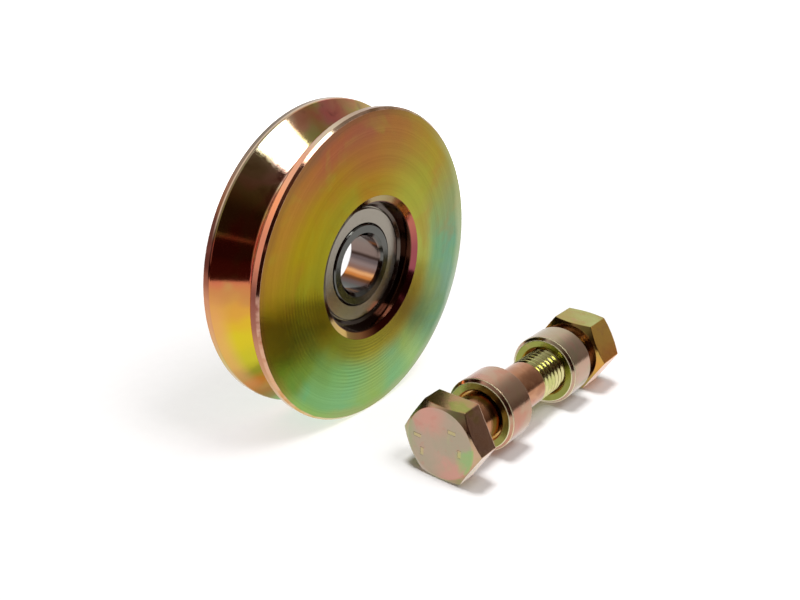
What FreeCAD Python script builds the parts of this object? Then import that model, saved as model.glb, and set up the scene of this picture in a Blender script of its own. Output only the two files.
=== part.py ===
import FreeCAD, Part
import math
import os
import Sketcher
from FreeCAD import Placement, Rotation, Vector

# Gate wheel: a turned, zinc-plated steel V-groove wheel for a sliding gate, with
# a shielded deep-groove ball bearing held in its hub by an internal retaining
# ring, and its axle kit laid out beside it on the bench: a hexagon bolt, two
# spacer sleeves and a hexagon nut.
#
# Frame: millimetres, +Z up. The origin is the centre of the bearing and of the
# wheel. +Y is the wheel's axis, from the open recess side (-Y, "front") to the
# retaining ring side (+Y, "rear"). The bolt lies along +X in front of the wheel,
# head towards -X. The bench is the plane z = -wheel_dia / 2.

doc = FreeCAD.newDocument("GateWheel")

# Alias, value, meaning. Millimetres unless the meaning says otherwise.
SIZES = [
    # wheel body
    ("wheel_dia", 80.0, "outside diameter over the two lands"),
    ("wheel_width", 18.0, "width over the faces"),
    ("edge_chamfer", 0.55, "chamfer at the outer edges"),
    ("land_width", 1.5, "width of the cylindrical land each side of the groove"),
    ("groove_edge_width", 0.45, "axial size of the broken edge between land and groove"),
    ("groove_edge_depth", 0.2, "radial size of the same edge"),
    ("groove_angle", 90.0, "included angle of the V groove, degrees"),
    ("groove_root_round", 0.5, "radius at the root of the groove"),
    ("lip_dia", 33.6, "bore of the lip that the bearing is pushed against"),
    ("lip_mouth_dia", 37.2, "mouth of the front recess"),
    ("lip_mouth_depth", 1.0, "depth of the mouth's chamfer"),
    ("ring_groove_dia", 37.0, "retaining ring groove diameter"),
    ("ring_groove_width", 1.6, "retaining ring groove width"),
    ("rear_mouth_dia", 36.4, "mouth of the rear recess"),
    ("rear_mouth_depth", 0.7, "depth of the rear mouth's chamfer"),
    # ball bearing, 15 x 35 x 11
    ("bearing_bore", 15.0, "bearing bore"),
    ("bearing_dia", 35.0, "bearing outside diameter"),
    ("bearing_width", 11.0, "bearing width"),
    ("bore_chamfer", 0.9, "chamfer at each end of the bore"),
    ("inner_land_dia", 21.2, "shoulder diameter of the inner ring"),
    ("inner_edge", 0.3, "edge break on the inner ring's shoulder"),
    ("outer_land_dia", 28.6, "shoulder diameter of the outer ring"),
    ("shield_seat_dia", 29.9, "bore the shields are crimped into"),
    ("shield_seat_depth", 1.3, "depth of the shield seat from the ring's face"),
    ("outer_mouth_dia", 31.3, "mouth of the shield seat on the ring's face"),
    ("outer_mouth_depth", 0.55, "depth of that mouth's chamfer"),
    ("outer_chamfer", 0.6, "chamfer at the outer ring's corners"),
    ("pitch_dia", 25.0, "pitch circle of the balls"),
    ("ball_dia", 5.953, "ball diameter, 15/64 inch"),
    ("first_ball_angle", 11.0, "angle of the first ball from +X towards +Z, degrees"),
    ("race_radius", 3.05, "radius of the raceway's cross-section"),
    ("race_clearance", 0.0235, "gap from a centred ball to the raceway's bottom"),
    ("shield_bore", 21.8, "inner edge of a shield"),
    ("shield_thick", 0.35, "sheet thickness of a shield"),
    ("shield_recess", 0.4, "shield's outer face below the ring's face"),
    ("shield_wall_dia", 29.2, "outside of the shield's turned-down wall"),
    ("shield_edge", 0.15, "chamfer between the shield's wall and outer face"),
    ("shield_rim_ratio", 0.85, "thickness of the shield's rim over its sheet thickness"),
    ("cage_inner_dia", 22.9, "cage band inside diameter"),
    ("cage_outer_dia", 27.1, "cage band outside diameter"),
    ("cage_thick", 0.52, "cage sheet thickness"),
    ("cage_tube_spare", 0.5, "length of the cage's trimming tube beyond the domes"),
    ("pocket_radius", 3.08, "inside radius of a cage pocket"),
    ("rivet_dia", 0.9, "cage rivet shank"),
    ("rivet_head_dia", 1.7, "cage rivet head"),
    ("rivet_head_height", 0.35, "height of a cage rivet head"),
    ("rivet_top_ratio", 0.6, "flat top of a rivet head over the head's diameter"),
    # internal retaining ring for a 35 mm bore
    ("clip_thick", 1.5, "retaining ring thickness"),
    ("clip_dia", 36.8, "retaining ring outside diameter, seated"),
    ("clip_inner_dia", 31.5, "retaining ring inside diameter"),
    ("clip_offset", 0.45, "eccentricity of the inside"),
    ("clip_gap", 2.6, "gap between the lugs"),
    ("clip_lug_radius", 2.4, "radius of a lug"),
    ("clip_lug_place", 15.3, "distance of a lug from the axis"),
    ("clip_lug_angle", 14.0, "angle of a lug from the gap's middle, degrees"),
    ("clip_hole_dia", 2.5, "plier hole"),
    # axle bolt, M12
    ("bolt_dia", 12.0, "nominal thread and shank diameter"),
    ("bolt_length", 65.0, "length under the head"),
    ("thread_length", 33.2, "threaded length"),
    ("thread_pitch", 1.75, "thread pitch"),
    ("thread_angle", 60.0, "included angle of the thread, degrees"),
    ("thread_depth_ratio", 0.6134, "thread depth over pitch"),
    ("thread_overcut", 0.12, "thread section's reach outside the shank"),
    ("thread_run_on", 1.2, "travel of the thread cut past the bolt's end, in pitches"),
    ("hex_across_flats", 19.0, "width across flats, head and nut"),
    ("head_height", 7.5, "height of the head with its washer face"),
    ("washer_face_dia", 17.4, "washer face diameter"),
    ("washer_face", 0.5, "washer face height"),
    ("hex_face_dia", 17.8, "flat circle left by the hexagon chamfers"),
    ("hex_chamfer_angle", 30.0, "slope of the hexagon chamfers, degrees"),
    ("bolt_end_chamfer", 1.2, "chamfer at the bolt's end"),
    # spacers and nut
    ("spacer_dia", 19.0, "outside diameter of both spacers"),
    ("spacer_bore", 13.1, "bore of both spacers"),
    ("spacer_chamfer", 0.9, "outer edge chamfer of both spacers"),
    ("spacer_bore_chamfer", 0.35, "bore edge chamfer of both spacers"),
    ("spacer_length", 10.3, "length of both spacers"),
    ("nut_height", 10.8, "nut height"),
    ("nut_bore", 12.12, "bore of the nut, clear of the bolt's thread crests"),
    ("nut_countersink", 13.0, "countersink at each end of the nut"),
    # where the axle kit lies
    ("kit_x", -7.8, "bearing face of the bolt's head along X"),
    ("kit_y", -41.9, "bolt axis along Y"),
    ("front_gap", 9.2, "from the bolt's head to the front spacer"),
    ("rear_gap", 41.0, "from the bolt's head to the rear spacer"),
    ("nut_gap", 55.2, "from the bolt's head to the nut"),
]

BALL_COUNT = 8  # balls, cage pockets and cage rivets
OVERCUT = 1.0  # reach of a cutting outline past the metal
RIVET_AXIS_REACH = 3.0  # half length of the construction line a rivet is turned about
LEAST_CUT = 1e-4  # mm3, volume any cut has to remove
LEAST_THREAD_CUT = 300.0  # mm3, volume the thread has to remove

sheet = doc.addObject("Spreadsheet::Sheet", "Sizes")
sheet.set("A1", "name")
sheet.set("B1", "value")
sheet.set("C1", "meaning")
for row, (alias, value, meaning) in enumerate(SIZES, start=2):
    sheet.set("A%d" % row, alias)
    sheet.set("B%d" % row, "%.10g" % value)
    sheet.setAlias("B%d" % row, alias)
    sheet.set("C%d" % row, meaning)
doc.recompute()


# ---------------------------------------------------- sizes with expressions
class Size:
    """A number with its sheet expression. In arithmetic the Size stands on the left."""

    def __init__(self, value, text):
        self.value = value
        self.text = text

    def __add__(self, other):
        other = as_size(other)
        return Size(self.value + other.value, "(%s + %s)" % (self.text, other.text))

    def __sub__(self, other):
        other = as_size(other)
        return Size(self.value - other.value, "(%s - %s)" % (self.text, other.text))

    def __mul__(self, other):
        other = as_size(other)
        return Size(self.value * other.value, "(%s * %s)" % (self.text, other.text))

    def __truediv__(self, other):
        other = as_size(other)
        return Size(self.value / other.value, "(%s / %s)" % (self.text, other.text))

    def __neg__(self):
        return Size(-self.value, "(0 - %s)" % self.text)


def as_size(thing):
    return thing if isinstance(thing, Size) else Size(float(thing), "%.10g" % float(thing))


def dim(alias):
    return Size(float(sheet.get(alias)), "Sizes." + alias)


def half(alias):
    return dim(alias) / 2


def sine(degrees):
    degrees = as_size(degrees)
    return Size(math.sin(math.radians(degrees.value)), "sin(%s)" % degrees.text)


def cosine(degrees):
    degrees = as_size(degrees)
    return Size(math.cos(math.radians(degrees.value)), "cos(%s)" % degrees.text)


def tangent(degrees):
    degrees = as_size(degrees)
    return Size(math.tan(math.radians(degrees.value)), "tan(%s)" % degrees.text)


def bind(thing, prop, size):
    thing.setExpression(prop, as_size(size).text)


def place(thing, x=None, y=None, z=None):
    for prop, size in (("x", x), ("y", y), ("z", z)):
        if size is not None:
            bind(thing, "Placement.Base." + prop, size)


# ------------------------------------------------------------------ sketches
def new_body(name):
    return doc.addObject("PartDesign::Body", name)


def origin_plane(body, role):
    for thing in body.Origin.OriginFeatures:
        if thing.Role == role:
            return thing
    raise RuntimeError("no plane " + role)


def new_sketch(body, name, plane):
    sketch = body.newObject("Sketcher::SketchObject", name)
    sketch.AttachmentSupport = (origin_plane(body, plane), [""])
    sketch.MapMode = "FlatFace"
    return sketch


def drive(sketch, constraint, size):
    """Adds a dimension that follows the sheet."""
    index = sketch.addConstraint(constraint)
    sketch.setExpression("Constraints[%d]" % index, size.text)


def pin_point(sketch, geo, pos, x, y):
    """Fixes a sketch point at (x, y): on an axis where it is zero, else by a dimension."""
    for kind, size, axis in (("DistanceX", as_size(x), -2), ("DistanceY", as_size(y), -1)):
        if abs(size.value) < 1e-9:
            sketch.addConstraint(Sketcher.Constraint("PointOnObject", geo, pos, axis))
        else:
            drive(sketch, Sketcher.Constraint(kind, -1, 1, geo, pos, size.value), size)


def polygon_sketch(body, name, points, plane="XY_Plane"):
    """A closed outline through the points, each held by its own dimensions."""
    sketch = new_sketch(body, name, plane)
    pairs = [(as_size(x), as_size(y)) for x, y in points]
    corners = [Vector(x.value, y.value, 0) for x, y in pairs]
    count = len(pairs)
    for i in range(count):
        sketch.addGeometry(Part.LineSegment(corners[i], corners[(i + 1) % count]), False)
    for i in range(count):
        sketch.addConstraint(Sketcher.Constraint("Coincident", i, 2, (i + 1) % count, 1))
    for i, (x, y) in enumerate(pairs):
        pin_point(sketch, i, 1, x, y)
    return sketch


def circle_sketch(body, name, circles, plane="XY_Plane"):
    """Circles given as (x, y, radius)."""
    sketch = new_sketch(body, name, plane)
    for circle in circles:
        x, y, radius = (as_size(size) for size in circle)
        centre = Vector(x.value, y.value, 0)
        geo = sketch.addGeometry(Part.Circle(centre, Vector(0, 0, 1), radius.value), False)
        if abs(x.value) < 1e-9 and abs(y.value) < 1e-9:
            sketch.addConstraint(Sketcher.Constraint("Coincident", geo, 3, -1, 1))
        else:
            pin_point(sketch, geo, 3, x, y)
        drive(sketch, Sketcher.Constraint("Radius", geo, radius.value), radius)
    return sketch


def mirrored_outline(points):
    """Closes an outline given for y >= 0 with its mirror image below y = 0."""
    pairs = [(as_size(x), as_size(y)) for x, y in points]
    return pairs + [(x, -y) for x, y in reversed(pairs)]


# ------------------------------------------------------------- body features
def full_turn(kind, body, name, sketch, axis):
    feature = body.newObject(kind, name)
    feature.Profile = sketch
    feature.ReferenceAxis = (sketch, [axis])
    feature.Angle = 360.0
    return feature


def revolve(body, name, sketch, axis):
    feature = full_turn("PartDesign::Revolution", body, name, sketch, axis)
    doc.recompute()
    return feature


def finish_cut(feature, before, least=LEAST_CUT):
    """Recomputes a cut and stops if it removed too little."""
    doc.recompute()
    if not feature.Shape.Volume < before - least:
        raise RuntimeError(feature.Name + " cuts too little")


def groove(body, name, sketch, axis):
    before = body.Shape.Volume
    finish_cut(full_turn("PartDesign::Groove", body, name, sketch, axis), before)


def pad(body, name, sketch, length, reverse=False):
    feature = body.newObject("PartDesign::Pad", name)
    feature.Profile = sketch
    bind(feature, "Length", length)
    feature.Reversed = reverse
    doc.recompute()


def pocket_through(body, name, sketch):
    """A cut through everything, both ways from the sketch."""
    before = body.Shape.Volume
    feature = body.newObject("PartDesign::Pocket", name)
    feature.Profile = sketch
    feature.SideType = "Symmetric"
    feature.Type = "ThroughAll"
    finish_cut(feature, before)


# --------------------------------------------------------------- shared sizes
wheel_radius = half("wheel_dia")
bearing_radius = half("bearing_dia")
bearing_half = half("bearing_width")
pitch_radius = half("pitch_dia")
ball_radius = half("ball_dia")
seat_radius = half("shield_seat_dia")
seat_floor = bearing_half - dim("shield_seat_depth")


# ---------------------------------------------------------------- wheel body
def build_wheel_body():
    half_width = half("wheel_width")
    chamfer = dim("edge_chamfer")
    land_end = half_width - chamfer - dim("land_width")
    flank_half = land_end - dim("groove_edge_width")
    flank_top = wheel_radius - dim("groove_edge_depth")
    root_radius = flank_top - flank_half / tangent(half("groove_angle"))
    ring_groove_end = bearing_half + dim("ring_groove_width")

    outline = [  # radius, y: the front face, rim and V groove, then the stepped bore
        (half("lip_mouth_dia"), -half_width),
        (wheel_radius - chamfer, -half_width),
        (wheel_radius, chamfer - half_width),
        (wheel_radius, -land_end),
        (flank_top, -flank_half),
        (root_radius, 0),
        (flank_top, flank_half),
        (wheel_radius, land_end),
        (wheel_radius, half_width - chamfer),
        (wheel_radius - chamfer, half_width),
        (half("rear_mouth_dia"), half_width),
        (bearing_radius, half_width - dim("rear_mouth_depth")),
        (bearing_radius, ring_groove_end),
        (half("ring_groove_dia"), ring_groove_end),
        (half("ring_groove_dia"), bearing_half),
        (bearing_radius, bearing_half),
        (bearing_radius, -bearing_half),
        (half("lip_dia"), -bearing_half),
        (half("lip_dia"), dim("lip_mouth_depth") - half_width),
    ]
    body = new_body("wheel_body")
    profile = polygon_sketch(body, "wheel_profile", outline)
    turning = revolve(body, "wheel_turning", profile, "V_Axis")

    root_edges = [
        "Edge%d" % number
        for number, edge in enumerate(body.Shape.Edges, start=1)
        if isinstance(edge.Curve, Part.Circle)
        and abs(edge.Curve.Radius - root_radius.value) < 1e-4
    ]
    if not root_edges:
        raise RuntimeError("the groove's root edge wasn't found")
    root_round = body.newObject("PartDesign::Fillet", "groove_root")
    root_round.Base = (turning, root_edges)
    bind(root_round, "Radius", dim("groove_root_round"))
    doc.recompute()
    return body


# ------------------------------------------------------------------- bearing
def build_bearing_ring(word, half_outline, race_centre):
    """A turned ring with a raceway of round section centred race_centre from the axis."""
    body = new_body("bearing_%s_ring" % word)
    outline = mirrored_outline(half_outline)
    profile = polygon_sketch(body, word + "_ring_profile", outline)
    revolve(body, word + "_ring_turning", profile, "V_Axis")
    circles = [(race_centre, 0, dim("race_radius"))]
    section = circle_sketch(body, word + "_raceway_section", circles)
    groove(body, word + "_raceway", section, "V_Axis")
    return body


def build_outer_ring():
    half_outline = [
        (bearing_radius, bearing_half - dim("outer_chamfer")),
        (bearing_radius - dim("outer_chamfer"), bearing_half),
        (half("outer_mouth_dia"), bearing_half),
        (seat_radius, bearing_half - dim("outer_mouth_depth")),
        (seat_radius, seat_floor),
        (half("outer_land_dia"), seat_floor),
    ]
    race_bottom = pitch_radius + ball_radius + dim("race_clearance")
    return build_bearing_ring("outer", half_outline, race_bottom - dim("race_radius"))


def build_inner_ring():
    half_outline = [
        (half("bearing_bore"), bearing_half - dim("bore_chamfer")),
        (half("bearing_bore") + dim("bore_chamfer"), bearing_half),
        (half("inner_land_dia") - dim("inner_edge"), bearing_half),
        (half("inner_land_dia"), bearing_half - dim("inner_edge")),
    ]
    race_bottom = pitch_radius - ball_radius - dim("race_clearance")
    return build_bearing_ring("inner", half_outline, race_bottom + dim("race_radius"))


def build_shield(name, side):
    """A pressed shield; side is -1 for the front and 1 for the rear."""
    sheet_thick = dim("shield_thick")
    outer_face = bearing_half - dim("shield_recess")
    inner_face = outer_face - sheet_thick
    wall_radius = half("shield_wall_dia")
    rim_top = seat_floor + sheet_thick * dim("shield_rim_ratio")
    rear_outline = [
        (half("shield_bore"), inner_face),
        (wall_radius - sheet_thick, inner_face),
        (wall_radius - sheet_thick, seat_floor),
        (seat_radius, seat_floor),
        (seat_radius, rim_top),
        (wall_radius, rim_top),
        (wall_radius, outer_face - dim("shield_edge")),
        (wall_radius - dim("shield_edge"), outer_face),
        (half("shield_bore"), outer_face),
    ]
    body = new_body(name)
    outline = [(x, y * side) for x, y in rear_outline]
    profile = polygon_sketch(body, name + "_profile", outline)
    revolve(body, name + "_pressing", profile, "V_Axis")
    return body


def pitch_angle(step):
    """Angle of a place on the pitch circle, counted in ball spacings from the first ball."""
    return dim("first_ball_angle") + 360.0 / BALL_COUNT * step


def place_on_pitch(thing, step, y=None):
    angle = pitch_angle(step)
    place(thing, x=pitch_radius * cosine(angle), y=y, z=pitch_radius * sine(angle))


def ring_of_spheres(name, radius):
    spheres = []
    for i in range(BALL_COUNT):
        sphere = doc.addObject("Part::Sphere", "%s_%d" % (name, i + 1))
        bind(sphere, "Radius", radius)
        place_on_pitch(sphere, i)
        spheres.append(sphere)
    return spheres


# ---------------------------------------------------------------------- cage
# A ribbon cage: two pressed half-cages back to back on the bearing's middle
# plane, each a flat band with rounded pockets, held by rivets between them.
def cylinder(name, radius, height):
    """A cylinder from the middle plane towards +Y."""
    thing = doc.addObject("Part::Cylinder", name)
    bind(thing, "Radius", radius)
    bind(thing, "Height", height)
    thing.Placement = Placement(Vector(0, 0, 0), Rotation(Vector(1, 0, 0), -90))
    return thing


def cut(name, base, tool):
    thing = doc.addObject("Part::Cut", name)
    thing.Base = base
    thing.Tool = tool
    return thing


def combine(kind, name, shapes):
    """A Part::MultiFuse or a Part::MultiCommon."""
    thing = doc.addObject(kind, name)
    thing.Shapes = shapes
    return thing


def cage_sleeve(name, height):
    """A sleeve between the cage's inside and outside diameters."""
    outside = cylinder(name + "_outside", half("cage_outer_dia"), height)
    inside = cylinder(name + "_inside", half("cage_inner_dia"), height)
    return cut(name, outside, inside)


def build_cage_halves():
    thick = dim("cage_thick")
    dome_radius = dim("pocket_radius") + thick
    tube = cage_sleeve("cage_tube", dome_radius + dim("cage_tube_spare"))
    band = cage_sleeve("cage_band", thick)

    dome_balls = ring_of_spheres("cage_dome_ball", dome_radius)
    dome_union = combine("Part::MultiFuse", "cage_dome_balls", dome_balls)
    domes = combine("Part::MultiCommon", "cage_domes", [tube, dome_union])
    blank = combine("Part::MultiFuse", "cage_blank", [band, domes])

    pocket_balls = ring_of_spheres("cage_pocket_ball", dim("pocket_radius"))
    pockets = combine("Part::MultiFuse", "cage_pocket_balls", pocket_balls)
    pressed = cut("cage_pressed", blank, pockets)

    holes = []
    for i in range(BALL_COUNT):
        hole = cylinder("cage_rivet_hole_%d" % (i + 1), half("rivet_dia"), thick * 4)
        place_on_pitch(hole, i + 0.5, y=-thick)
        holes.append(hole)
    hole_union = combine("Part::MultiFuse", "cage_rivet_holes", holes)
    rear = cut("cage_half_rear", pressed, hole_union)

    front = doc.addObject("Part::Mirroring", "cage_half_front")
    front.Source = rear
    front.Base = Vector(0, 0, 0)
    front.Normal = Vector(0, 1, 0)
    doc.recompute()
    return [front, rear]


def build_cage_rivets():
    thick = dim("cage_thick")
    rivet_top = thick + dim("rivet_head_height")
    shank_side = pitch_radius + half("rivet_dia")
    head_side = pitch_radius + half("rivet_head_dia")
    top_side = pitch_radius + half("rivet_head_dia") * dim("rivet_top_ratio")
    outline = [
        (pitch_radius, -rivet_top),
        (top_side, -rivet_top),
        (head_side, -thick),
        (shank_side, -thick),
        (shank_side, thick),
        (head_side, thick),
        (top_side, rivet_top),
        (pitch_radius, rivet_top),
    ]
    body = new_body("cage_rivets")
    profile = polygon_sketch(body, "rivet_profile", outline)
    axis_start = Vector(pitch_radius.value, -RIVET_AXIS_REACH, 0)
    axis_end = Vector(pitch_radius.value, RIVET_AXIS_REACH, 0)
    axis = profile.addGeometry(Part.LineSegment(axis_start, axis_end), True)
    pin_point(profile, axis, 1, pitch_radius, -RIVET_AXIS_REACH)
    pin_point(profile, axis, 2, pitch_radius, RIVET_AXIS_REACH)
    rivet = revolve(body, "rivet_turning", profile, "Axis0")

    ring = body.newObject("PartDesign::PolarPattern", "rivet_ring")
    ring.Originals = [rivet]
    ring.Axis = (profile, ["V_Axis"])
    ring.Angle = 360.0
    ring.Occurrences = BALL_COUNT
    body.Tip = ring
    # The first rivet is drawn on +X and turned to lie midway between two balls.
    turn = Rotation(Vector(0, 1, 0), -pitch_angle(0.5).value)
    body.Placement = Placement(Vector(0, 0, 0), turn)
    doc.recompute()
    return body


# ------------------------------------------------------------ retaining ring
def build_circlip():
    thick = dim("clip_thick")
    outer_radius = half("clip_dia")
    lug_x = dim("clip_lug_place") * sine(dim("clip_lug_angle"))
    lug_z = dim("clip_lug_place") * cosine(dim("clip_lug_angle"))
    body = new_body("circlip")

    circles = [(0, 0, outer_radius), (0, dim("clip_offset"), half("clip_inner_dia"))]
    ring = circle_sketch(body, "clip_ring_outline", circles, "XZ_Plane")
    pad(body, "clip_ring", ring, thick, reverse=True)
    for side, word in ((-1, "left"), (1, "right")):
        circles = [(lug_x * side, lug_z, dim("clip_lug_radius"))]
        lug = circle_sketch(body, "clip_lug_outline_" + word, circles, "XZ_Plane")
        pad(body, "clip_lug_" + word, lug, thick, reverse=True)

    half_gap = half("clip_gap")
    gap_bottom = dim("clip_lug_place") - dim("clip_lug_radius") * 2
    gap_top = outer_radius + OVERCUT
    outline = [
        (-half_gap, gap_bottom),
        (half_gap, gap_bottom),
        (half_gap, gap_top),
        (-half_gap, gap_top),
    ]
    gap = polygon_sketch(body, "clip_gap_outline", outline, "XZ_Plane")
    pocket_through(body, "clip_gap_cut", gap)

    circles = [(x, lug_z, half("clip_hole_dia")) for x in (-lug_x, lug_x)]
    holes = circle_sketch(body, "clip_plier_outline", circles, "XZ_Plane")
    pocket_through(body, "clip_plier_holes", holes)
    place(body, y=bearing_half)
    return body


# ------------------------------------------------------------------ axle kit
# Each piece is turned about its own +X, then laid on the bolt's line. The bolt's
# x = 0 is its head's bearing face; the others start at x = 0.
def place_in_kit(body, gap):
    """Lays a piece on the bench, gap along X from the bolt's head."""
    height = -wheel_radius + half("hex_across_flats")
    place(body, x=dim("kit_x") + gap, y=dim("kit_y"), z=height)


def hexagon_sketch(body, name):
    """A hexagon square to the axis, with its top and bottom flats square to Z."""
    flat = half("hex_across_flats")
    corner = flat / cosine(30)
    points = [
        (corner, 0),
        (corner / 2, flat),
        (-corner / 2, flat),
        (-corner, 0),
        (-corner / 2, -flat),
        (corner / 2, -flat),
    ]
    return polygon_sketch(body, name, points, "YZ_Plane")


def hexagon_chamfer(body, name, face_x, outward):
    """Cuts the hexagon's corners with a cone that leaves the face circle.

    outward is the face's direction along X, -1 or 1.
    """
    face_radius = half("hex_face_dia")
    reach = dim("hex_across_flats")
    slope = tangent(dim("hex_chamfer_angle"))
    outline = [
        (face_x + outward * OVERCUT, face_radius),
        (face_x, face_radius),
        (face_x - (reach - face_radius) * slope * outward, reach),
        (face_x + outward * OVERCUT, reach),
    ]
    groove(body, name, polygon_sketch(body, name + "_profile", outline), "H_Axis")


def cut_thread(body):
    pitch = dim("thread_pitch")
    bolt_radius = half("bolt_dia")
    depth = pitch * dim("thread_depth_ratio")
    overcut = dim("thread_overcut")
    root_half = pitch / 8 / 2
    mouth_half = root_half + (depth + overcut) * tangent(half("thread_angle"))
    start = dim("bolt_length") - dim("thread_length")
    outline = [
        (start - mouth_half, bolt_radius + overcut),
        (start - root_half, bolt_radius - depth),
        (start + root_half, bolt_radius - depth),
        (start + mouth_half, bolt_radius + overcut),
    ]
    section = polygon_sketch(body, "thread_section", outline)
    before = body.Shape.Volume
    thread = body.newObject("PartDesign::SubtractiveHelix", "thread_cut")
    thread.Profile = section
    thread.ReferenceAxis = (section, ["H_Axis"])
    thread.Mode = 0  # pitch and height
    bind(thread, "Pitch", pitch)
    bind(thread, "Height", dim("thread_length") + pitch * dim("thread_run_on"))
    thread.LeftHanded = False
    thread.Reversed = False
    finish_cut(thread, before, LEAST_THREAD_CUT)


def build_axle_bolt():
    bolt_radius = half("bolt_dia")
    length = dim("bolt_length")
    head_end = -dim("head_height")
    outline = [
        (head_end, 0),
        (length, 0),
        (length, bolt_radius - dim("bolt_end_chamfer")),
        (length - dim("bolt_end_chamfer"), bolt_radius),
        (0, bolt_radius),
        (0, half("washer_face_dia")),
        (head_end, half("washer_face_dia")),
    ]
    body = new_body("axle_bolt")
    revolve(body, "shank_turning", polygon_sketch(body, "shank_profile", outline), "H_Axis")
    hexagon = hexagon_sketch(body, "head_hexagon")
    bind(hexagon, "AttachmentOffset.Base.z", head_end)
    pad(body, "head_forging", hexagon, dim("head_height") - dim("washer_face"))
    hexagon_chamfer(body, "head_chamfer", head_end, -1)
    cut_thread(body)
    place_in_kit(body, 0)
    return body


def build_spacer(name, gap):
    length = dim("spacer_length")
    outer_radius = half("spacer_dia")
    bore_radius = half("spacer_bore")
    chamfer = dim("spacer_chamfer")
    bore_chamfer = dim("spacer_bore_chamfer")
    outline = [
        (0, bore_radius + bore_chamfer),
        (0, outer_radius - chamfer),
        (chamfer, outer_radius),
        (length - chamfer, outer_radius),
        (length, outer_radius - chamfer),
        (length, bore_radius + bore_chamfer),
        (length - bore_chamfer, bore_radius),
        (bore_chamfer, bore_radius),
    ]
    body = new_body(name)
    revolve(body, name + "_turning", polygon_sketch(body, name + "_profile", outline), "H_Axis")
    place_in_kit(body, gap)
    return body


def build_hex_nut():
    height = dim("nut_height")
    bore_radius = half("nut_bore")
    sink_radius = half("nut_countersink")
    sink_depth = sink_radius - bore_radius
    body = new_body("hex_nut")
    pad(body, "nut_blank", hexagon_sketch(body, "nut_hexagon"), height)
    hexagon_chamfer(body, "nut_chamfer_near", as_size(0), -1)
    hexagon_chamfer(body, "nut_chamfer_far", height, 1)
    outline = [
        (-OVERCUT, 0),
        (height + OVERCUT, 0),
        (height + OVERCUT, sink_radius),
        (height, sink_radius),
        (height - sink_depth, bore_radius),
        (sink_depth, bore_radius),
        (0, sink_radius),
        (-OVERCUT, sink_radius),
    ]
    groove(body, "nut_boring", polygon_sketch(body, "nut_bore_profile", outline), "H_Axis")
    place_in_kit(body, dim("nut_gap"))
    return body


# ---------------------------------------------------- build, check and export
nodes = [
    build_wheel_body(),
    build_outer_ring(),
    build_inner_ring(),
    build_shield("shield_front", -1),
    build_shield("shield_rear", 1),
    *ring_of_spheres("ball", ball_radius),
    *build_cage_halves(),
    build_cage_rivets(),
    build_circlip(),
    build_axle_bolt(),
    build_spacer("front_spacer", dim("front_gap")),
    build_spacer("rear_spacer", dim("rear_gap")),
    build_hex_nut(),
]
doc.recompute()

for thing in doc.Objects:
    for word in thing.State:
        if "Invalid" in word or "Error" in word:
            raise RuntimeError("%s failed: %s" % (thing.Label, thing.State))
for node in nodes:
    if node.Shape.isNull() or not node.Shape.isValid() or not node.Shape.Solids:
        raise RuntimeError("%s has no valid solid" % node.Label)

os.makedirs("parts", exist_ok=True)
for node in nodes:
    node.Shape.exportStep(os.path.join("parts", node.Label + ".step"))
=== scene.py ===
"""Looks and studio for a grooved wheel with its bearing, and its axle bolt, spacers and nut.

The wheel turns about Y, its front toward -Y. The small parts lie beside it on an axis
along X, the bolt's head toward -X. The scene is in metres; the materials work in millimetres.
"""
import math
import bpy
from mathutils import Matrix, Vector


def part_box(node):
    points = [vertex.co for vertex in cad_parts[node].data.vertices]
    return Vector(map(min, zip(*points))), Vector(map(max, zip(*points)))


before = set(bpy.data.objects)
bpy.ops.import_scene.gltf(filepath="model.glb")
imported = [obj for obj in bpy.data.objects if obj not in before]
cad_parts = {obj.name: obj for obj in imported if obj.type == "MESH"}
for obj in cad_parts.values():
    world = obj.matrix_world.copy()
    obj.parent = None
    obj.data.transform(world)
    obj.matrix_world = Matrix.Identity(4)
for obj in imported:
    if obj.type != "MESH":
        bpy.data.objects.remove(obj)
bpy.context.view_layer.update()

from types import SimpleNamespace

import bpy
from mathutils import Matrix, Vector

scene = bpy.context.scene
scene.view_settings.view_transform = "Standard"
scene.view_settings.look = "None"

# ---------------------------------------------------------------- dimensions, mm
# Spans are (start, end) for Value.step: a mask grows from 0 at the start to 1 at the end.
# wheel, by distance from its axis
MIDDLE_FILM = (21.5, 28.0)
OUTER_FILM = (28.0, 35.0)
BRIM = (36.6, 39.0)
TREAD = (29.0, 31.0)
RIM = (38.4, 39.0)
CORNER = (39.25, 39.45)
MOUTH = (16.95, 17.1)
# wheel, by distance from its middle plane
RIM_SIDE = (6.62, 6.78)
CORNER_SIDE = (8.2, 8.6)
MOUTH_SIDE = (7.9, 8.05)
# tool marks on the wheel's faces
RIPPLE_PITCH = 0.95
FEED_PITCH = 0.8
# bearing
BORE = (8.0, 7.6)
# small parts
KIT_AXIS_Y, KIT_AXIS_Z = -41.9, -30.5
HEAD_TOP = (-15.0, -15.2)
THREAD = (23.4, 24.2)
SPACER_HIGHLIGHT_LINES = ((8.66, 0.05), (9.44, 0.04))  # radius, half width of the brightest line
SPACER_BORE = (6.9, 6.75)
DASH_FADE = 0.22
# centre across Y and Z from the bolt's axis, then half size along Y and Z
DASHES = ((6.3, -0.1, 0.95, 0.36), (-3.1, 4.0, 0.95, 0.36),
          (4.8, -3.9, 0.36, 0.9), (-5.5, -0.7, 0.36, 0.9))
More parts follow.
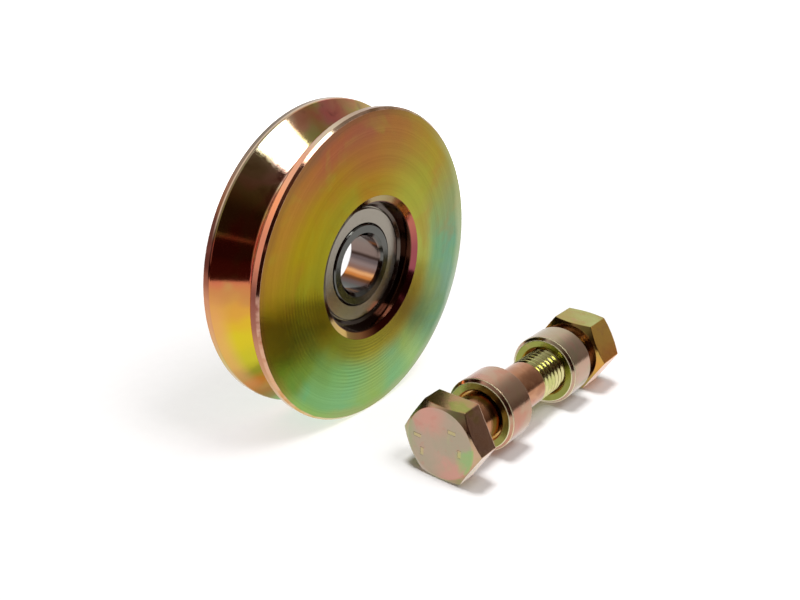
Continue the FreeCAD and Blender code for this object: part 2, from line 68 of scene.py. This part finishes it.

# ---------------------------------------------------------------- film colours by angle, some with painted highlights and reflections
# Each stop: degrees from +X toward +Z, then red, green and blue as 0 to 255 display values.
INNER_FACE = [
    (0, 160, 163, 66), (45, 160, 156, 50), (90, 163, 120, 26), (120, 152, 135, 24),
    (150, 156, 139, 16), (180, 150, 136, 18), (196, 144, 148, 20), (212, 138, 148, 24),
    (240, 122, 128, 28), (270, 148, 138, 28), (300, 152, 134, 26), (316, 148, 126, 32),
    (332, 176, 154, 46),
]
MIDDLE_FACE = [
    (0, 112, 158, 112), (45, 156, 147, 42), (90, 162, 104, 48), (120, 161, 122, 24),
    (150, 162, 138, 13), (180, 148, 136, 18), (194, 150, 160, 30), (206, 140, 164, 46),
    (216, 118, 150, 54), (226, 110, 156, 84), (240, 114, 170, 102), (255, 120, 170, 102),
    (270, 138, 168, 88), (285, 126, 170, 112), (300, 146, 172, 88), (316, 118, 146, 92),
    (332, 150, 174, 110),
]
OUTER_FACE = [
    (0, 106, 156, 122), (45, 160, 138, 34), (75, 160, 106, 50), (90, 154, 90, 62),
    (120, 162, 92, 58), (150, 170, 122, 40), (180, 154, 130, 18), (194, 146, 150, 28),
    (206, 122, 150, 38), (216, 106, 144, 54), (226, 112, 168, 106), (250, 116, 174, 118),
    (270, 140, 172, 90), (285, 122, 174, 114), (300, 150, 184, 110), (318, 116, 160, 118),
    (340, 122, 160, 130),
]
FACE_BRIM = [
    (0, 170, 183, 143), (30, 170, 172, 117), (60, 157, 130, 50), (90, 131, 86, 50),
    (120, 134, 90, 66), (150, 148, 104, 44), (180, 152, 112, 40), (210, 140, 132, 50),
    (225, 140, 176, 86), (270, 154, 164, 103), (300, 162, 178, 136), (330, 186, 202, 182),
]
# film of the groove walls; the pale stops from 114 to 131 degrees are a painted highlight that
# whitens the softbox's reflection high on the groove
GROOVE_FILM_AND_HIGHLIGHT = [
    (179, 200, 134, 76), (186, 216, 158, 66), (192, 218, 178, 50), (199, 214, 192, 44),
    (208, 196, 186, 46), (215, 144, 140, 34), (222, 184, 112, 26), (230, 156, 108, 26),
    (237, 136, 116, 30), (244, 126, 150, 70), (250, 118, 166, 102), (262, 114, 168, 112),
    (290, 150, 170, 84), (325, 196, 158, 80), (0, 214, 152, 92), (40, 190, 146, 78),
    (70, 196, 166, 84), (80, 200, 150, 100), (90, 204, 122, 110), (98, 190, 148, 88),
    (106, 214, 158, 120), (114, 250, 222, 190), (122, 250, 232, 212), (131, 246, 216, 190),
    (142, 216, 126, 92), (158, 208, 104, 74), (170, 204, 108, 80),
]
FRONT_EDGE = [
    (120, 208, 190, 162), (134, 236, 172, 134), (146, 248, 156, 108), (160, 214, 132, 102),
    (171, 132, 76, 64), (182, 156, 98, 80), (191, 190, 132, 96), (210, 206, 150, 84),
    (230, 200, 168, 78), (246, 186, 190, 84), (270, 160, 176, 82), (300, 158, 174, 122),
    (0, 174, 182, 140), (60, 166, 146, 88), (90, 156, 118, 82),
]
REAR_EDGE = [
    (120, 132, 118, 104), (132, 138, 116, 98), (138, 146, 104, 82), (145, 134, 84, 58),
    (153, 98, 56, 46), (168, 96, 48, 38), (175, 150, 88, 68), (183, 204, 142, 104),
    (192, 216, 160, 108), (206, 204, 174, 84), (222, 200, 168, 122), (250, 206, 178, 130),
    (290, 180, 170, 110), (0, 206, 150, 110), (45, 190, 140, 90), (90, 144, 122, 100),
]
RECESS_LIPS = [
    (0, 150, 76, 80), (40, 184, 106, 88), (75, 158, 140, 92), (100, 150, 122, 52),
    (180, 164, 126, 50), (215, 176, 142, 60), (240, 204, 168, 92), (262, 192, 128, 84),
    (285, 176, 96, 84), (320, 140, 70, 84),
]
# painted reflections on the bearing's bore: each angle gets the colour of what the ground bore
# mirrors there
PAINTED_BORE_REFLECTIONS = [
    (90, 92, 84, 76), (60, 80, 72, 66), (42, 112, 102, 95), (18, 134, 116, 108),
    (1, 128, 109, 102), (-6, 60, 44, 38), (-13, 112, 98, 98), (-23, 146, 126, 122),
    (-34, 142, 106, 92), (-42, 228, 166, 112), (-49, 200, 124, 62), (-56, 104, 64, 38),
    (-66, 100, 82, 78), (-78, 92, 92, 89), (-100, 96, 96, 92), (180, 98, 92, 88),
    (120, 92, 86, 80),
]


def film(*display):
    """A colour given as 0 to 255 display values, turned into linear light."""
    levels = [value / 255.0 for value in display]
    return tuple(v / 12.92 if v <= 0.04045 else ((v + 0.055) / 1.055) ** 2.4 for v in levels)


def around(stops):
    """Ramp stops from film colours by angle, closed on themselves at -X."""
    placed = sorted(((angle / 360.0 + 0.5) % 1.0, film(*shade)) for angle, *shade in stops)
    (first, first_shade), (last, last_shade) = placed[0], placed[-1]
    if first > 0.0:
        share = (1.0 - last) / (1.0 - last + first)
        seam = tuple(u + (v - u) * share for u, v in zip(last_shade, first_shade))
        placed.insert(0, (0.0, seam))
    return placed + [(1.0, placed[0][1])]


# ---------------------------------------------------------------- node trees as arithmetic
class Tree:
    """The emptied node tree of a material or world."""

    def __init__(self, owner):
        self.owner = owner
        owner.use_nodes = True
        self.tree = owner.node_tree
        self.tree.nodes.clear()

    def put(self, socket, value):
        if isinstance(value, Value):
            self.tree.links.new(value.socket, socket)
        elif isinstance(value, tuple):
            alpha = (1.0,) * (len(socket.default_value) - len(value))
            socket.default_value = value + alpha
        else:
            socket.default_value = value

    def add(self, kind, inputs=None, **props):
        node = self.tree.nodes.new(kind)
        for key, value in props.items():
            setattr(node, key, value)
        for key, value in (inputs or {}).items():
            self.put(node.inputs[key], value)
        return node

    def value(self, kind, inputs=None, out=0, **props):
        return Value(self, self.add(kind, inputs, **props).outputs[out])

    def math(self, operation, *values):
        return self.value("ShaderNodeMath", dict(enumerate(values)), operation=operation)

    def split(self, vector):
        node = self.add("ShaderNodeSeparateXYZ", {0: vector})
        return [Value(self, node.outputs[i]) for i in range(3)]

    def mix(self, amount, start, end, mode="MIX"):
        return self.value("ShaderNodeMix", {0: amount, 6: start, 7: end}, out=2,
                          data_type="RGBA", blend_type=mode)

    def soft_edge(self, radius, samples=4):
        return self.value("ShaderNodeBevel", {0: radius}, samples=samples)

    def surface(self, inputs):
        shader = self.add("ShaderNodeBsdfPrincipled", inputs)
        output = self.add("ShaderNodeOutputMaterial")
        self.tree.links.new(shader.outputs[0], output.inputs["Surface"])
        return self.owner

    def turned_surface(self, color, rough, normal, aniso):
        """Metal whose highlights stretch around the wheel's axis."""
        tangent = self.value("ShaderNodeTangent", direction_type="RADIAL", axis="Y")
        return self.surface({
            "Base Color": color, "Roughness": rough, "Metallic": 1.0, "Normal": normal,
            "Anisotropic": aniso, "Anisotropic Rotation": 0.25, "Tangent": tangent})


class Value:
    """An output socket that adds nodes to its tree when calculated with."""

    def __init__(self, tree, socket):
        self.tree, self.socket = tree, socket

    def math(self, operation, *others):
        return self.tree.math(operation, self, *others)

    def __add__(self, other):
        return self.math("ADD", other)

    def __sub__(self, other):
        return self.math("SUBTRACT", other)

    def __rsub__(self, other):
        return self.tree.math("SUBTRACT", other, self)

    def __mul__(self, other):
        return self.math("MULTIPLY", other)

    def __truediv__(self, other):
        return self.math("DIVIDE", other)

    def __neg__(self):
        return self * -1.0

    def __abs__(self):
        return self.math("ABSOLUTE")

    def max(self, other):
        return self.math("MAXIMUM", other)

    def wave(self, pitch):
        return (self * (2 * math.pi / pitch)).math("SINE")

    def step(self, start, end):
        """0 at start, 1 at end, smooth in between. start may be above end."""
        limits = (start, end, 0.0, 1.0) if start < end else (end, start, 1.0, 0.0)
        return self.tree.value("ShaderNodeMapRange", dict(enumerate((self, *limits))),
                               interpolation_type="SMOOTHSTEP")

    def tint(self, amount, color, mode="MIX"):
        return self.tree.mix(amount, self, color, mode)

    def lerp(self, start, end):
        return self.tree.value("ShaderNodeMix", {0: self, 2: start, 3: end}, data_type="FLOAT")

    def ramp(self, stops, interpolation="EASE"):
        node = self.tree.add("ShaderNodeValToRGB", {0: self})
        ramp = node.color_ramp
        ramp.interpolation = interpolation
        ramp.elements.remove(ramp.elements[-1])
        for i, (position, color) in enumerate(stops):
            element = ramp.elements.new(position) if i else ramp.elements[0]
            element.position = position
            element.color = (*color, 1.0)
        return Value(self.tree, node.outputs[0])

    def greys(self, *stops):
        return self.ramp([(position, (level,) * 3) for position, level in stops], "LINEAR")

    def spread(self, *colors):
        """Film colours in order over 0.3 to 0.7 of a noise."""
        gaps = len(colors) - 1
        return self.ramp([(0.3 + 0.4 * i / gaps, film(*c)) for i, c in enumerate(colors)])

    def noise(self, scale, detail, rough, distort=0.0):
        return self.tree.value("ShaderNodeTexNoise", {
            "Vector": self, "Scale": scale, "Detail": detail, "Roughness": rough,
            "Distortion": distort}, noise_dimensions="3D")

    def line_noise(self, detail, rough):
        return self.tree.value("ShaderNodeTexNoise", {
            "W": self, "Scale": 1.0, "Detail": detail, "Roughness": rough,
            "Distortion": 0.0}, noise_dimensions="1D")

    def bump(self, normal, strength, distance):
        """Bump with this height over another normal; distance in metres."""
        return self.tree.value("ShaderNodeBump", {
            "Height": self, "Strength": strength, "Distance": distance, "Normal": normal})


def length(first, second):
    return (first * first + second * second).math("SQRT")


def object_space(tree):
    """Object coordinates in millimetres, normals, and the raw coordinates as place."""
    node = tree.add("ShaderNodeTexCoord")
    place = Value(tree, node.outputs["Object"])
    x, y, z = tree.split(place)
    normal_x, normal_y, _ = tree.split(Value(tree, node.outputs["Normal"]))
    return SimpleNamespace(x=x * 1000.0, y=y * 1000.0, z=z * 1000.0,
                           normal_x=normal_x, normal_y=normal_y, place=place)


def turn(part):
    """Turn about Y: 0 at -X, 0.25 at -Z, 0.5 at +X, 0.75 at +Z."""
    return part.z.math("ARCTAN2", part.x) / (2 * math.pi) + 0.5


# ---------------------------------------------------------------- wheel
def face_film(part):
    """The flat faces: an inner, a middle and an outer ring of film, then the brim."""
    angle, radius = part.film_turn, part.film_radius
    inner, middle, outer = [
        angle.ramp(around(stops)) for stops in (INNER_FACE, MIDDLE_FACE, OUTER_FACE)]
    face = inner.tint(radius.step(*MIDDLE_FILM), middle)
    face = face.tint(radius.step(*OUTER_FILM), outer)
    blot = part.place.noise(scale=75.0, detail=3.0, rough=0.6, distort=0.8)
    # the copper blots are stronger toward the top
    copper = blot.step(0.50, 0.68) * (part.z.step(-14.0, 6.0) * 0.22 + 0.08)
    face = face.tint(copper, film(168, 112, 40))
    face = face.tint(blot.step(0.50, 0.36) * 0.16, film(146, 166, 48))
    face = face.tint(radius.step(*BRIM) * 0.85, angle.ramp(around(FACE_BRIM)))
    # fine and broad rings of slightly different film
    fine = (part.radius * 2.6).line_noise(detail=3.0, rough=0.75)
    broad = (part.radius * 0.35 + 7.0).line_noise(detail=2.0, rough=0.6)
    face = face.tint(0.14, fine.greys((0.35, 0.25), (0.65, 0.75)), "SOFT_LIGHT")
    face = face.tint(0.09, broad.greys((0.35, 0.2), (0.65, 0.8)), "SOFT_LIGHT")
    stripes = (part.tool * 0.5 + 0.5).greys((0.0, 0.33), (1.0, 0.67))
    return face.tint(part.ripple * 0.55, stripes, "SOFT_LIGHT")


def groove_film(part):
    y, z, patch = part.y, part.z, part.patch
    # groove film by angle, with a painted highlight in its pale stops near the top
    groove = part.film_turn.ramp(around(GROOVE_FILM_AND_HIGHLIGHT))
    groove = groove.tint(patch.step(0.46, 0.66) * 0.60 * z.step(0.0, 6.0), film(206, 100, 92))
    green = patch.step(0.50, 0.32) * (z.step(0.0, 6.0) * 0.50 + 0.15)
    groove = groove.tint(green, film(170, 186, 96))
    # a paler band away from the middle plane, in the lower half
    pale = abs(y).step(3.2, 6.2) * z.step(4.0, -8.0) * z.step(-31.0, -22.0) * 0.6
    groove = groove.tint(pale, film(228, 160, 112))
    specks = part.place.noise(scale=150.0, detail=3.0, rough=0.6, distort=0.8)
    return groove.tint(specks.step(0.55, 0.72) * z.step(8.0, 20.0) * 0.55, film(150, 84, 74))


def edge_film(part):
    """The turned edge lands and chamfers, front and rear."""
    front = part.film_turn.ramp(around(FRONT_EDGE))
    rear = part.film_turn.ramp(around(REAR_EDGE))
    # painted highlight: the groove side of the rear land pales toward the top
    pale = part.y.step(7.5, 7.1) * part.z.step(12.0, 20.0) * 0.8
    rear = rear.tint(pale, film(228, 200, 170))
    edge = front.tint(part.y.step(-0.1, 0.1), rear)
    return edge.tint(part.patch.step(0.5, 0.7) * 0.2, film(190, 110, 100))


def hub_film(part):
    """The recess: a copper wall painted dark as shade in the hollow, with a pinker mouth."""
    mouth = part.radius.step(*MOUTH) * part.off_middle.step(*MOUTH_SIDE)
    blot = part.place.noise(scale=90.0, detail=2.0, rough=0.5)
    # painted shade: the recess wall is far darker than the zinc elsewhere
    wall = part.tree.mix(blot, film(106, 60, 48), film(92, 62, 46))
    return wall.tint(mouth, part.film_turn.ramp(around(RECESS_LIPS)))


def wheel_material():
    tree = Tree(bpy.data.materials.new("yellow_zinc_wheel"))
    part = object_space(tree)
    part.tree = tree
    place = part.place
    radius = part.radius = length(part.x, part.z)
    angle = turn(part)
    # the film's borders wander, broadly and finely
    broad = place.noise(scale=42.0, detail=2.0, rough=0.55) - 0.5
    fine = place.noise(scale=130.0, detail=3.0, rough=0.6) - 0.5
    part.film_turn = (angle + broad * 0.08 + fine * 0.02 + 1.0).math("FRACT")
    part.film_radius = radius + broad * 5.0 + fine * 2.0
    part.patch = place.noise(scale=90.0, detail=2.0, rough=0.5, distort=0.5)
    part.off_middle = abs(part.y)
    # even ripples in two sectors, near -X and near the foot
    near_left, near_foot = [abs(angle - at).step(0.085, 0.02) for at in (0.036, 0.236)]
    part.ripple = near_left.max(near_foot) * radius.step(18.8, 20.5) * radius.step(36.0, 30.0)
    part.tool = radius.wave(RIPPLE_PITCH)

    flat = abs(part.normal_y).step(0.90, 0.97)
    not_flat = 1.0 - flat
    tread = radius.step(*TREAD) * not_flat
    rim = part.off_middle.step(*RIM_SIDE) * radius.step(*RIM) * not_flat
    color = hub_film(part).tint(tread, groove_film(part))
    color = color.tint(rim, edge_film(part))
    color = color.tint(flat, face_film(part))
    # handled edges: worn to a paler, pinker film
    worn = place.noise(scale=260.0, detail=3.0, rough=0.6).step(0.30, 0.62)
    corner = radius.step(*CORNER) * part.off_middle.step(*CORNER_SIDE)
    color = color.tint(corner * worn * 0.5, film(236, 196, 170))
    # painted sheen: away from the flat faces the colour pales a little at glancing views
    grazing_sheen = tree.value("ShaderNodeLayerWeight", {"Blend": 0.35}, out="Facing")
    color = color.tint(grazing_sheen.step(0.55, 1.0) * 0.35 * not_flat, film(206, 184, 160))

    scuff = place.noise(scale=900.0, detail=4.0, rough=0.7)
    dull = place.noise(scale=60.0, detail=3.0, rough=0.6).step(0.62, 0.80)
    rough = flat.lerp(0.085, 0.23) + (scuff - 0.5) * 0.06 + dull * 0.05
    # lathe marks: fine rings everywhere, a regular feed mark on the flat faces
    feed = radius.wave(FEED_PITCH)
    rings = (radius * 9.0).line_noise(detail=4.0, rough=0.8)
    along = (part.y * 12.0).line_noise(detail=4.0, rough=0.8)
    height = flat.lerp(along * 0.5, feed * 0.22 + part.tool * part.ripple * 0.35 + rings * 0.7)
    normal = height.bump(tree.soft_edge(0.00012), strength=0.30, distance=0.00002)
    normal = scuff.bump(normal, strength=0.10, distance=0.00002)
    return tree.turned_surface(color, rough, normal, flat.lerp(0.30, 0.75))


# ---------------------------------------------------------------- bolt, spacers and nut
def round_patch(across, rise, centre, fade):
    """A mask around a centre. Negative centres are added, positive ones subtracted."""
    def offset(value, middle):
        return value - middle if middle > 0 else value + -middle

    square_y, square_z = [offset(value, middle) * offset(value, middle)
                          for value, middle in zip((across, rise), centre)]
    return (square_y + square_z).math("SQRT").step(*fade)


def bolt_film(part, color):
    """Film of the bolt, and the mask of the raised dashes on its head."""
    x, radius, blend = part.x, part.radius, part.blend
    shank = x.step(-8.0, -7.6) * radius.step(6.3, 6.1)
    color = color.tint(shank, blend.spread(
        (186, 118, 92), (198, 144, 108), (174, 120, 86), (192, 154, 124)))
    color = color.tint(x.step(*THREAD), blend.spread(
        (214, 200, 132), (224, 216, 158), (204, 204, 132), (228, 210, 168)))
    # painted light: the sides of the head that face the front are brightened as if lit
    painted_lit_sides = part.normal_y.step(-0.35, -0.6) * (1.0 - part.cap)
    painted_lit_sides = painted_lit_sides * x.step(-7.8, -8.2) * radius.step(7.0, 8.0)
    color = color.tint(painted_lit_sides * 0.8, blend.spread(
        (234, 190, 150), (240, 196, 170), (220, 190, 120), (236, 178, 150)))
    # patches of film on the top of the head
    top = x.step(*HEAD_TOP)
    across = part.across + (part.big - 0.5) * 9.0
    rise = part.rise + (part.mid - 0.5) * 9.0
    green = round_patch(across, rise, centre=(-8.2, -2.4), fade=(5.0, 1.6))
    low_pink = round_patch(across, rise, centre=(-4.2, -7.4), fade=(7.5, 1.0))
    high_pink = round_patch(across, rise, centre=(3.4, 5.8), fade=(6.5, 0.8))
    color = color.tint(green * top * 0.65, film(134, 184, 108))
    color = color.tint(low_pink.max(high_pink) * top * 0.55, film(216, 142, 130))
    color = color.tint(across.step(5.5, 8.5) * top * 0.5, film(146, 168, 118))
    marks = None
    for y, z, half_y, half_z in DASHES:
        dash = (abs(part.across - y).step(half_y + DASH_FADE, half_y)
                * abs(part.rise - z).step(half_z + DASH_FADE, half_z) * top)
        marks = marks.max(dash) if marks else dash
    return color.tint(marks * 0.35, film(206, 190, 110)), marks


def nut_film(part, color):
    """Painted light: the sides that face the front are brightened as if lit; more orange low
    down.
    """
    painted_lit_sides = part.normal_y.step(-0.35, -0.6) * (1.0 - part.cap)
    # painted light on the sides that face the front
    color = color.tint(painted_lit_sides * 0.9, film(250, 196, 92))
    low = (part.rise + (part.mid - 0.5) * 5.0).step(6.5, -2.0) * painted_lit_sides
    return color.tint(low * 0.8, film(236, 138, 56))


def spacer_film(part, color):
    """Film of a spacer, with painted highlights along its turned corners and a painted gold
    reflection in its bore, and the mask of the corner lines.
    """
    inner, outer = [abs(part.radius - at).step(0.13, core) for at, core in SPACER_HIGHLIGHT_LINES]
    # painted highlight: pale lines on the rounded corners
    line = inner.max(outer) * abs(part.normal_x).step(0.2, 0.5)
    color = color.tint(line * 0.85, film(250, 244, 206))
    # painted reflection: the bore is painted bright gold
    return color.tint(part.radius.step(*SPACER_BORE), film(228, 188, 78)), line


def kit_material(name, kind, seed, sides, caps):
    """Yellow zinc: one run of film colours on the sides and another on the ends."""
    tree = Tree(bpy.data.materials.new(name))
    part = object_space(tree)
    place = tree.value("ShaderNodeVectorMath", {
        0: part.place, 1: (seed * 0.37, seed * 0.11, seed * 0.23)}, operation="ADD")
    part.big = place.noise(scale=95.0, detail=2.5, rough=0.55, distort=0.6)
    part.mid = place.noise(scale=260.0, detail=3.0, rough=0.6, distort=0.8)
    part.blend = part.big * 0.75 + part.mid * 0.25
    part.cap = abs(part.normal_x).step(0.80, 0.95)
    part.across, part.rise = part.y - KIT_AXIS_Y, part.z - KIT_AXIS_Z
    part.radius = length(part.across, part.rise)
    color = part.blend.spread(*sides).tint(part.cap, part.blend.spread(*caps))
    if kind == "bolt":
        color, marks = bolt_film(part, color)
    elif kind == "nut":
        color = nut_film(part, color)
    spots = place.noise(scale=420.0, detail=2.0, rough=0.5).step(0.58, 0.72)
    color = color.tint(spots * 0.22, film(196, 124, 108))

    scuff = place.noise(scale=1100.0, detail=4.0, rough=0.7)
    dull = place.noise(scale=140.0, detail=3.0, rough=0.6).step(0.55, 0.8)
    rough = (scuff - 0.5) * 0.10 + dull * 0.08 + 0.15
    if kind == "spacer":
        # the spacer's painted highlight lines, also made rougher
        color, line = spacer_film(part, color)
        rough = rough + line * 0.42
    side_rings = (part.x * 9.0 + seed).line_noise(detail=4.0, rough=0.8)
    cap_rings = (part.radius * 10.0 + seed).line_noise(detail=4.0, rough=0.8)
    height = part.cap.lerp(side_rings, cap_rings)
    normal = height.bump(tree.soft_edge(0.00030, samples=6), strength=0.35, distance=0.00002)
    normal = scuff.bump(normal, strength=0.25, distance=0.000025)
    if kind == "bolt":
        normal = marks.bump(normal, strength=1.0, distance=0.00018)
    return tree.surface({
        "Base Color": color, "Roughness": rough, "Metallic": 1.0, "Normal": normal})


# ---------------------------------------------------------------- bearing and circlip
def steel_material(name, base, tint, rough, rings, aniso=0.5, spot=0.35, bore=False):
    """Ground or pressed steel turned about the wheel's axis; rings per mm set its marks."""
    tree = Tree(bpy.data.materials.new(name))
    part = object_space(tree)
    radius = length(part.x, part.z)
    blot = part.place.noise(scale=160.0, detail=3.0, rough=0.6)
    scuff = part.place.noise(scale=1300.0, detail=4.0, rough=0.7)
    specks = part.place.noise(scale=700.0, detail=2.0, rough=0.5).step(0.68, 0.82)
    color = tree.mix(blot, base, tint).tint(specks * spot, tuple(c * 0.5 for c in base))
    flat = abs(part.normal_y).step(0.85, 0.96)
    if bore:
        # painted reflections: bright and dark bands by angle along the ground bore
        angle = (turn(part) + (blot - 0.5) * 0.012 + 1.0).math("FRACT")
        color = color.tint(radius.step(*BORE) * (1.0 - flat), angle.ramp(around(PAINTED_BORE_REFLECTIONS)))
    marks = (flat.lerp(part.y, radius) * rings).line_noise(detail=4.0, rough=0.8)
    rough = (blot - 0.5) * 0.08 + (scuff - 0.5) * 0.06 + rough
    normal = marks.bump(tree.soft_edge(0.0001), strength=0.35, distance=0.000012)
    normal = scuff.bump(normal, strength=0.12, distance=0.000015)
    return tree.turned_surface(color, rough, normal, aniso)


looks = {"wheel_body": wheel_material()}
looks["axle_bolt"] = kit_material(
    "yellow_zinc_bolt", "bolt", seed=1.0,
    sides=[(178, 104, 84), (172, 138, 92), (150, 148, 70), (160, 158, 80)],
    caps=[(190, 140, 124), (176, 156, 136), (170, 156, 134), (164, 168, 128)])
looks["front_spacer"] = kit_material(
    "yellow_zinc_front_spacer", "spacer", seed=2.3,
    sides=[(196, 116, 96), (190, 136, 112), (186, 152, 126), (178, 156, 112)],
    caps=[(144, 136, 66), (154, 150, 80), (138, 144, 74), (172, 150, 104)])
looks["rear_spacer"] = kit_material(
    "yellow_zinc_rear_spacer", "spacer", seed=3.1,
    sides=[(168, 148, 104), (176, 158, 128), (190, 156, 134), (158, 152, 96)],
    caps=[(138, 136, 62), (152, 152, 78), (144, 148, 74), (168, 148, 98)])
looks["hex_nut"] = kit_material(
    "yellow_zinc_nut", "nut", seed=4.7,
    sides=[(174, 132, 62), (166, 148, 66), (168, 166, 86), (178, 178, 104)],
    caps=[(140, 84, 70), (150, 98, 80), (130, 92, 66), (130, 112, 70)])
looks["bearing_inner_ring"] = steel_material(
    "ground_bearing_steel", film(86, 88, 85), film(104, 102, 97),
    rough=0.12, rings=7.0, aniso=0.45, spot=0.2, bore=True)
looks["bearing_outer_ring"] = steel_material(
    "dark_bearing_steel", film(84, 76, 70), film(100, 90, 82),
    rough=0.12, rings=7.0, aniso=0.45, spot=0.2)
ball_steel = steel_material(
    "polished_ball_steel", (0.62, 0.62, 0.63), (0.70, 0.69, 0.68),
    rough=0.07, rings=3.0, aniso=0.0)
looks.update({"ball_%d" % i: ball_steel for i in range(1, 9)})
looks["shield_front"] = looks["shield_rear"] = steel_material(
    "pressed_shield_steel", (0.30, 0.27, 0.22), (0.36, 0.32, 0.27), rough=0.22, rings=6.0)
cage_steel = steel_material(
    "pressed_cage_steel", (0.46, 0.43, 0.38), (0.56, 0.52, 0.46),
    rough=0.26, rings=4.0, aniso=0.2)
for piece in ("cage_half_front", "cage_half_rear", "cage_rivets"):
    looks[piece] = cage_steel
looks["circlip"] = steel_material(
    "phosphated_spring_steel", (0.035, 0.034, 0.036), (0.075, 0.07, 0.068),
    rough=0.38, rings=6.0, aniso=0.2)
for piece, material in looks.items():
    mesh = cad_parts[piece].data
    mesh.materials.clear()
    mesh.materials.append(material)


# ---------------------------------------------------------------- bench, in metres
def bench_material():
    """A pale sheet. Past its edge toward -X and -Y, reflections see the dark room."""
    tree = Tree(bpy.data.materials.new("pale_bench"))
    place = tree.value("ShaderNodeNewGeometry", out="Position")
    x, y, _ = tree.split(place)
    rays = tree.add("ShaderNodeLightPath")
    glossy = Value(tree, rays.outputs["Is Glossy Ray"])
    camera_ray = Value(tree, rays.outputs["Is Camera Ray"])
    away = x * -0.80 + y * -0.60
    reach = length(x, y)
    dark = away.step(0.2155, 0.2185) * (away / reach).step(0.35, 0.6) * glossy
    grain = place.noise(scale=300.0, detail=3.0, rough=0.6)
    pale = tree.mix(grain, (0.92, 0.92, 0.925), (0.95, 0.95, 0.955))
    color = pale.tint(glossy, (0.22, 0.22, 0.22)).tint(dark, (0.012, 0.003, 0.002))
    # far from the parts the sheet is burnt out to white
    far = reach.step(0.11, 0.26) * camera_ray * 1.5
    return tree.surface({
        "Base Color": color, "Roughness": 0.9, "Metallic": 0.0, "Specular IOR Level": 0.0,
        # in reflections the sheet keeps most of its light under the parts
        "Emission Color": tree.mix(dark, (0.75, 0.75, 0.75), (0.030, 0.010, 0.006)),
        "Emission Strength": glossy + far})


def make_bench(cells=24, half=4.0):
    """A square grid at the height of the wheel's foot."""
    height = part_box("wheel_body")[0].z
    row = cells + 1
    ticks = [-half + 2 * half * i / cells for i in range(row)]
    verts = [(x, y, height) for y in ticks for x in ticks]
    corners = [j * row + i for j in range(cells) for i in range(cells)]
    faces = [(k, k + 1, k + row + 1, k + row) for k in corners]
    mesh = bpy.data.meshes.new("bench")
    mesh.from_pydata(verts, [], faces)
    bench = bpy.data.objects.new("bench", mesh)
    scene.collection.objects.link(bench)
    mesh.materials.append(bench_material())
    return bench


make_bench()


# ---------------------------------------------------------------- room and lights
def studio_world():
    """White to the camera; reflections see a room that brightens toward +Y."""
    tree = Tree(bpy.data.worlds.new("studio"))
    x, y, z = tree.split(tree.value("ShaderNodeTexCoord", out="Generated"))
    rays = tree.add("ShaderNodeLightPath")
    camera_ray = Value(tree, rays.outputs["Is Camera Ray"])
    glossy = Value(tree, rays.outputs["Is Glossy Ray"])
    toward_back = x * 0.80 + y * 0.60
    across = y + x * 0.25 + z * 0.10
    room = (across * 0.5 + 0.5).ramp([
        (0.000, (0.022, 0.008, 0.006)), (0.225, (0.030, 0.012, 0.009)),
        (0.300, (0.17, 0.14, 0.12)), (0.350, (0.30, 0.28, 0.26)),
        (0.400, (0.28, 0.26, 0.25)), (0.500, (0.35, 0.33, 0.32)),
        (0.585, (0.45, 0.44, 0.43)), (0.685, (0.75, 0.74, 0.73)),
        (0.750, (0.95, 0.95, 0.95)), (0.850, (1.0, 1.0, 1.0)),
    ], "LINEAR")
    # a thin bright edge low in the dark room
    line = abs(z - 0.195).step(0.012, 0.004) * (-toward_back).step(0.2, 0.5)
    room = room.tint(line * 0.35, (0.9, 0.5, 0.4))
    # a faint warm glow higher up
    glow = z.step(0.43, 0.62) * across.step(-0.1, -0.5) * 0.05
    room = room.tint(glow, (0.9, 0.62, 0.46))
    seen = tree.mix(glossy, (0.30, 0.275, 0.27), room).tint(camera_ray, (1.0, 1.0, 1.0))
    shader = tree.value("ShaderNodeBackground", {0: seen})
    tree.add("ShaderNodeOutputWorld", {"Surface": shader})
    return tree.owner


def softbox(name, direction, distance, size, watts):
    """A square area light aimed at the origin."""
    light = bpy.data.lights.new(name, "AREA")
    light.shape = "RECTANGLE"
    light.size = light.size_y = size
    light.energy = watts
    box = bpy.data.objects.new(name, light)
    toward = Vector(direction).normalized()
    box.location = toward * distance
    box.rotation_mode = "QUATERNION"
    box.rotation_quaternion = toward.to_track_quat("Z", "Y")
    box.visible_camera = False
    scene.collection.objects.link(box)
    return box


scene.world = studio_world()
softbox("softbox_front", (0.06, -0.46, 0.885), distance=0.80, size=0.30, watts=2.0)
overhead = softbox("overhead", (-0.02, 0.06, 0.998), distance=1.60, size=0.36, watts=17.0)
overhead.visible_glossy = False
# only the small parts cast the overhead light's shadows
shaded_by = bpy.data.collections.new("kit_shadow")
for piece in ("axle_bolt", "front_spacer", "rear_spacer", "hex_nut"):
    shaded_by.objects.link(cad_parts[piece])
overhead.light_linking.blocker_collection = shaded_by

# ---------------------------------------------------------------- camera
lens = bpy.data.cameras.new("camera")
lens.sensor_width = 36.0
lens.sensor_fit = "HORIZONTAL"
lens.lens = 40.30
lens.clip_start, lens.clip_end = 0.01, 20.0
camera = bpy.data.objects.new("camera", lens)
scene.collection.objects.link(camera)
pose = Matrix((
    (0.608462, -0.792855, 0.034192),  # right
    (0.286961, 0.259983, 0.922003),  # up
    (-0.739894, -0.551184, 0.385703),  # back
)).transposed().to_4x4()
pose.translation = (-0.16414, -0.13994, 0.07942)
camera.matrix_world = pose
scene.camera = camera
